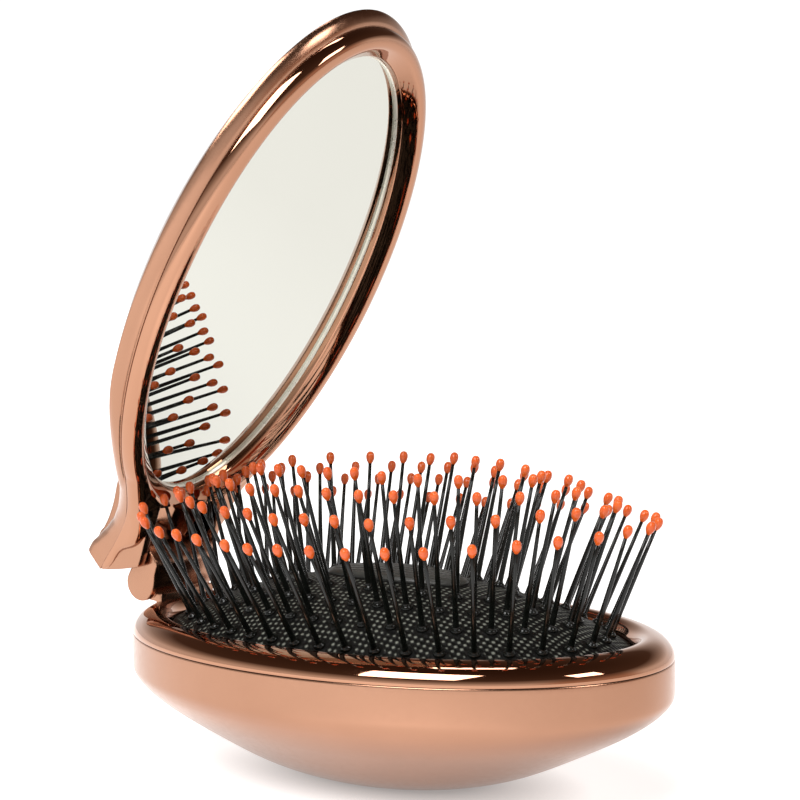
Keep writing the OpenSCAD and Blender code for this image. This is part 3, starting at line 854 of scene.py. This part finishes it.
def cushion_skin():
    """The rubber dome, rolled over at its edge; the grain's strength is kept per point so that it stops at the boots and the cap."""
    nt_, nr = 420, 110
    t = np.linspace(0, 2 * PI, nt_, endpoint=False)
    s = np.linspace(0.012, 1.0, nr)
    ea, eb = RI - 0.42, RB - 0.42
    X = np.outer(s, ea * np.cos(t))
    Y = np.outer(s, eb * np.sin(t))
    Z = dome_z(X, Y)
    grain = np.ones_like(X) * np.clip((1 - s)[:, None] * 43 / 0.9, 0, 1)
    capr = np.sqrt(((X - 0.9) / 14.0) ** 2 + (Y / 6.4) ** 2)
    grain = grain * np.clip((capr - 0.98) * 12, 0, 1)
    lift = np.zeros_like(X)
    for k, i, tt, root, d in BRISTLES:
        r = np.hypot(X - root[0], Y - root[1])
        m = np.clip((1.7 - r) / 0.8, 0, 1)
        m = m * m * (3 - 2 * m)
        lift = np.maximum(lift, 0.22 * m)
        grain = grain * (1 - m)
    Z = Z + lift
    rings = [np.stack([X[i], Y[i], Z[i]], 1) for i in range(nr)]
    # rolled edge down into the gap, then the underside
    for da, z in ((0.10, 0.98), (0.22, 0.66), (0.26, 0.2), (0.26, -0.4), (0.1, -0.6), (-1.5, -0.6), (-1.6, -0.3)):
        rings.append(np.stack([(ea + da) * np.cos(t), (eb + da) * np.sin(t), np.full(nt_, z)], 1))
    for q in np.linspace(0.955, 0.06, 16):
        x, y = ea * q * np.cos(t), eb * q * np.sin(t)
        rings.append(np.stack([x, y, dome_z(x, y) - 1.6], 1))
    v, f = rings_mesh(rings, cap_start=True, cap_end=True)
    o = make("cushion_skin", base_m(v), f, [RUBBER])
    att = o.data.attributes.new("grain", "FLOAT", "POINT")
    val = np.zeros(len(o.data.vertices), dtype=np.float32)
    val[:nr * nt_] = grain.reshape(-1)
    att.data.foreach_set("value", val)
    fix_normals(o)
    return o


def crown():
    """Ribbed oval cap on the crown: seven grooves along it, rounded shoulders."""
    a, b, cx = 13.6, 6.25, 0.9
    nx, ny = 96, 120
    verts, faces = [], []
    t = np.linspace(0, 2 * PI, 240, endpoint=False)
    rr = np.concatenate([np.linspace(0.02, 0.9, 44), np.linspace(0.91, 1.0, 8)])
    rings = []
    for q in rr:
        x, y = cx + a * q * np.cos(t), b * q * np.sin(t)
        z = dome_z(x, y) + 0.95
        shoulder = np.clip((q - 0.86) / 0.14, 0, 1)
        z = z - 0.62 * shoulder ** 2.2
        # ribs run lengthwise
        w = np.cos(2 * PI * y / 1.55)
        groove = np.clip((w - 0.35) / 0.65, 0, 1)
        run = np.clip((0.93 - q) / 0.06, 0, 1)
        z = z - 0.42 * groove * run
        rings.append(np.stack([x, y, z], 1))
    for q, dz in ((1.004, 0.22), (1.0, 0.0)):
        x, y = cx + a * q * np.cos(t), b * q * np.sin(t)
        rings.append(np.stack([x, y, dome_z(x, y) + dz], 1))
    for q in (0.9, 0.5, 0.17):
        x, y = cx + a * q * np.cos(t), b * q * np.sin(t)
        rings.append(np.stack([x, y, dome_z(x, y) + 0.02], 1))
    v, f = rings_mesh(rings, cap_start=True)
    off = len(v)
    last = (len(rings) - 1) * 240
    # stem through the membrane
    stem = [np.stack([2.0 * np.cos(t), 2.0 * np.sin(t), np.full(240, z)], 1) for z in (11.7, 7.2)]
    v2, f2 = rings_mesh(stem, cap_end=True)
    faces = f + [tuple(i + off for i in q) for q in f2]
    for j in range(240):
        k = (j + 1) % 240
        faces.append((last + j, off + j, off + k, last + k))
    o = make("crown_cap_ribbed", base_m(v + v2), faces, [CAP])
    fix_normals(o)
    sharpen(o, 38)
    return o


def coil():
    """The pop-up spring, drawn at one length; the real one shortens as the cushion goes down."""
    rings = []
    tt = np.linspace(0, 2 * PI, 10, endpoint=False)
    for i in range(241):
        t = i / 240
        a = 2 * PI * 6 * t
        z = -19.85 + 25.15 * t
        r = 6.6 + 0.53 * np.cos(tt)
        rings.append(np.stack([r * math.cos(a), r * math.sin(a), z + 0.53 * np.sin(tt)], 1))
    v, f = rings_mesh(rings, cap_start=True, cap_end=True)
    o = make("pop_spring_coil", base_m(v), f, [WIRE])
    fix_normals(o)
    return o


def hash01(a, b, c=0):
    """A repeatable number from 0 to 1."""
    v = math.sin(a * 127.1 + b * 311.7 + c * 74.7) * 43758.5453
    return v - math.floor(v)


def bristle_mesh(root, u, k, i):
    """One bristle with its boot, tapered shaft, a slight bend and an egg-shaped tip."""
    n = 16
    e1 = np.cross(u, [0, 1, 0.0])
    e1 /= np.linalg.norm(e1)
    e2 = np.cross(u, e1)
    length = 21.3 + 0.5 * (hash01(k, i, 5) - 0.5)
    bend = (0.55 * (hash01(k, i, 1) - 0.5)) * e1 + (0.55 * (hash01(k, i, 2) - 0.5)) * e2
    lean = (0.030 * (hash01(k, i, 3) - 0.5)) * e1 + (0.030 * (hash01(k, i, 4) - 0.5)) * e2
    w = u + lean
    w = w / np.linalg.norm(w)

    def centre(h):
        q = max(h, 0) / length
        return root + w * h + bend * q * q

    neck = length - 2.1
    prof = [(0.0, -2.75), (0.93, -2.75), (0.93, -1.95), (0.54, -1.85), (0.55, -0.3), (0.98, 0.0), (1.02, 0.25), (0.94, 0.5), (0.72, 0.68), (0.55, 0.85), (0.49, 1.2), (0.45, 4.0), (0.39, 9.0), (0.335, 14.0), (0.30, neck)]
    tt = np.linspace(0, 2 * PI, n, endpoint=False)
    ring = [centre(h) + r * (np.outer(np.cos(tt), e1) + np.outer(np.sin(tt), e2)) for r, h in prof[1:]]
    v, f = rings_mesh(ring, cap_start=True, cap_end=True)
    off = len(v)
    tp = [(0.315, -0.08), (0.42, 0.10), (0.58, 0.38), (0.71, 0.72), (0.765, 1.06), (0.75, 1.38), (0.66, 1.70), (0.50, 1.94), (0.27, 2.09)]
    top = [centre(neck + h) + r * (np.outer(np.cos(tt), e1) + np.outer(np.sin(tt), e2)) for r, h in tp]
    v2, f2 = rings_mesh(top, cap_start=True, cap_end=True)
    # the last cap point becomes the pole
    v2[-1] = tuple(centre(neck + 2.12))
    return v + v2, f + [tuple(q + off for q in g) for g in f2], [0] * len(f) + [1] * len(f2)


def bristle_groups():
    made = []
    for k in range(1, 5):
        mine = [b for b in BRISTLES if b[0] == k]
        sectors = {1: 20, 2: 17, 3: 14, 4: 11}[k]
        per = len(mine) // sectors
        for g in range(sectors):
            part = mine[g * per:(g + 1) * per]
            verts, faces, mats = [], [], []
            for _, i, t, root, u in part:
                v, f, m = bristle_mesh(root, u, k, i)
                off = len(verts)
                verts += v
                faces += [tuple(q + off for q in x) for x in f]
                mats += m
            o = make("bristles_%d_%02d" % (k, g + 1), base_m(verts), faces, [NYLON, ORANGE], face_mats=mats)
            fix_normals(o)
            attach(o, "pad")
            root = np.mean([b[3] for b in part], axis=0)
            u = np.mean([b[4] for b in part], axis=0)
            out = np.array([u[0], u[1]])
            out = out / max(np.linalg.norm(out), 1e-6)
            # where the mean tip should end up, as seen from the root, with the lid shut
            goal = np.array([-out[0] * 0.6, -out[1] * 0.6, 12.0])
            room = {1: 15.0, 2: 13.0, 3: 11.3, 4: 10.0}[k]
            goal[2] = room
            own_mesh(o)
            if g == 0:
                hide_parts("bristles_row%d" % k, "tips_row%d" % k, *(["tips_row1_sides"] if k == 1 else []))
            made.append(o)
    return made


# ---------------------------------------------------------------- build

bowl = base_bowl()
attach(bowl, "base")
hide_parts("base_shell")

rim = base_rim()
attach(rim, "base")
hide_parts("base_ring")

leaf = hinge_leaf()
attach(leaf, "base")
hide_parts("hinge_bracket")

shell = lid_shell()
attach(shell, "lid")
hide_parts("lid_back")

lidrim = lid_frame()
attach(lidrim, "lid")
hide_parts("lid_front")

glass = mirror_plate()
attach(glass, "lid")
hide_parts("mirror")

skin = cushion_skin()
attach(skin, "pad")
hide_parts("cushion")
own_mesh(skin)

spring = coil()
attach(spring, "base")
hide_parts("pop_spring")
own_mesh(spring)

cap = crown()
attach(cap, "pad")
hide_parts("crown_cap")

bristle_groups()

# CAD nodes that are carried over with procedural finishes
for name, mat in {
    "bracket_screws": STEEL, "cushion_frame": PLASTIC, "frame_screws": STEEL, "base_magnet": STEEL, "balance_weight": STEEL,
    "plunger": PLASTIC, "mirror_pad": FOAM, "hinge_pin": STEEL, "lid_magnet": STEEL,
}.items():
    o = nodes.get(name)
    if o is None:
        continue
    o.data.materials.clear()
    o.data.materials.append(mat)
    for s in o.material_slots:
        s.material = mat

# ---------------------------------------------------------------- studio

CAM = Vector((0.17044, -0.26172, 0.08364))
TARGET = Vector((0.00171, 0.0, 0.0642))
back = (CAM - TARGET).normalized()
right = Vector((-back.y, back.x, 0)).normalized()
up = back.cross(right)
roll = -0.005
r2 = right * math.cos(roll) + up * math.sin(roll)
u2 = -right * math.sin(roll) + up * math.cos(roll)
cam_data = bpy.data.cameras.new("camera")
cam_data.sensor_width = 36.0
cam_data.lens = 83.16
cam_data.clip_start = 0.01
cam_data.clip_end = 50.0
cam = bpy.data.objects.new("camera", cam_data)
rot = Matrix((r2, u2, back)).transposed().to_4x4()
cam.matrix_world = Matrix.Translation(CAM) @ rot
scene.collection.objects.link(cam)
scene.camera = cam

# floor
fm, fnt, fb = material("floor_white")
fv = objcoord(fnt, 1.0)
ff = noise(fnt, fv, 6.0, 2.0)
link(fnt, ramp(fnt, ff, [(0.2, (0.49, 0.49, 0.49)), (0.8, (0.51, 0.51, 0.51))]), fb.inputs["Base Color"])
fb.inputs["Roughness"].default_value = 0.9
fb.inputs["Specular IOR Level"].default_value = 0.1
fb.inputs["Emission Color"].default_value = (1, 1, 1, 1)
fsep = fnt.nodes.new("ShaderNodeSeparateXYZ")
link(fnt, fv, fsep.inputs["Vector"])


def fmath(op, a, b, c=None):
    nd = fnt.nodes.new("ShaderNodeMath")
    nd.operation = op
    for i, q in enumerate((a, b, c)):
        if q is None:
            continue
        if isinstance(q, (int, float)):
            nd.inputs[i].default_value = q
        else:
            link(fnt, q, nd.inputs[i])
    return nd.outputs[0]


# the floor glows by its own emission instead of being lit: a painted glow, brighter and whiter to the left and dimmer
# and warmer to the right, a painted pool of light in front of the base and a painted shadow right under the bowl, all
# of it white to the eye
along = fmath("MULTIPLY_ADD", fsep.outputs["X"], -0.809, fmath("MULTIPLY", fsep.outputs["Y"], -0.587))
glow = mapr(fnt, along, 0.68, 1.05, -0.14, 0.14)
link(fnt, ramp(fnt, mapr(fnt, along, 0.0, 1.0, -0.14, 0.10), [(0.0, (1.0, 0.96, 0.94)), (1.0, (1.0, 1.0, 1.0))]), fb.inputs["Emission Color"])
# painted pool of light on the floor in front of the base
dx = fmath("SUBTRACT", fsep.outputs["X"], 0.030)
dy = fmath("SUBTRACT", fsep.outputs["Y"], -0.085)
far = fmath("SQRT", fmath("MULTIPLY_ADD", dx, dx, fmath("MULTIPLY", dy, dy)), 0.0)
painted_light_pool = mapr(fnt, far, 0.45, 0.0, 0.01, 0.06)
# painted shadow: the floor's glow drops to 0.35 right under the bowl's foot
fx = fmath("MULTIPLY", fsep.outputs["X"], 1 / 0.0175)
fy = fmath("MULTIPLY", fsep.outputs["Y"], 1 / 0.0105)
foot = fmath("SQRT", fmath("MULTIPLY_ADD", fx, fx, fmath("MULTIPLY", fy, fy)), 0.0)
shade = mapr(fnt, foot, 0.35, 1.0, 0.9, 2.1)
link(fnt, fmath("MULTIPLY", fmath("ADD", glow, painted_light_pool), shade), fb.inputs["Emission Strength"])
floor = make("floor", [(-6, -6, -0.0001), (6, -6, -0.0001), (6, 6, -0.0001), (-6, 6, -0.0001)], [(0, 1, 2, 3)], [fm], smooth=False)

# world: bright all round the horizon, dark overhead, so that the plated rims show dark bands between the lamps' streaks
world = bpy.data.worlds.new("studio")
scene.world = world
world.use_nodes = True
wnt = world.node_tree
wnt.nodes.clear()
wo = wnt.nodes.new("ShaderNodeOutputWorld")
bg = wnt.nodes.new("ShaderNodeBackground")
tc = wnt.nodes.new("ShaderNodeTexCoord")
sep = wnt.nodes.new("ShaderNodeSeparateXYZ")
wnt.links.new(tc.outputs["Generated"], sep.inputs["Vector"])
wr = wnt.nodes.new("ShaderNodeValToRGB")
els = wr.color_ramp.elements
stops = [(0.0, (1.0, 1.0, 1.0)), (0.58, (1.0, 1.0, 1.0)), (0.66, (0.50, 0.46, 0.43)), (0.75, (0.10, 0.065, 0.048)), (1.0, (0.045, 0.026, 0.018))]
while len(els) < len(stops):
    els.new(0.5)
for e, (pos, v) in zip(els, stops):
    e.position = pos
    e.color = (*v, 1)
half = wnt.nodes.new("ShaderNodeMapRange")
half.inputs["From Min"].default_value = -1.0
half.inputs["From Max"].default_value = 1.0
wnt.links.new(sep.outputs["Z"], half.inputs["Value"])
wnt.links.new(half.outputs["Result"], wr.inputs["Fac"])
# a warm card stands beyond the free end
card = wnt.nodes.new("ShaderNodeMapRange")
card.interpolation_type = "SMOOTHSTEP"
card.inputs["From Min"].default_value = 0.74
card.inputs["From Max"].default_value = 0.94
wnt.links.new(sep.outputs["X"], card.inputs["Value"])
mix = wnt.nodes.new("ShaderNodeMix")
mix.data_type = "RGBA"
mix.blend_type = "MULTIPLY"
mix.inputs["B"].default_value = (0.66, 0.46, 0.36, 1)
wnt.links.new(card.outputs["Result"], mix.inputs["Factor"])
wnt.links.new(wr.outputs["Color"], mix.inputs["A"])
wnt.links.new(mix.outputs["Result"], bg.inputs["Color"])
bg.inputs["Strength"].default_value = 1.1
wnt.links.new(bg.outputs["Background"], wo.inputs["Surface"])


def softbox(name, loc, target, sx, sy, power):
    d = bpy.data.lights.new(name, "AREA")
    d.shape = "RECTANGLE"
    d.size, d.size_y = sx, sy
    d.energy = power
    o = bpy.data.objects.new(name, d)
    o.location = loc
    o.rotation_euler = (Vector(target) - Vector(loc)).to_track_quat("-Z", "Y").to_euler()
    scene.collection.objects.link(o)
    return o


softbox("window", (0.05, -0.67, 0.80), (0, 0, 0.03), 0.54, 0.54, 9.0)
softbox("fill", (0.92, -0.02, 0.74), (0, 0, 0.04), 0.34, 0.30, 3.0)
softbox("top", (-0.06, 0.10, 1.1), (0, 0, 0.04), 0.30, 0.16, 1.2)
sun_data = bpy.data.lights.new("key", "SUN")
sun_data.energy = 2.3
sun_data.angle = math.radians(32)
sun = bpy.data.objects.new("key", sun_data)
sun.rotation_euler = Vector((0.16, 0.30, -0.95)).to_track_quat("-Z", "Y").to_euler()
sun.visible_glossy = False
scene.collection.objects.link(sun)

scene.view_settings.view_transform = "Standard"
scene.view_settings.look = "None"
scene.view_settings.exposure = 0.0
scene.view_settings.gamma = 1.0
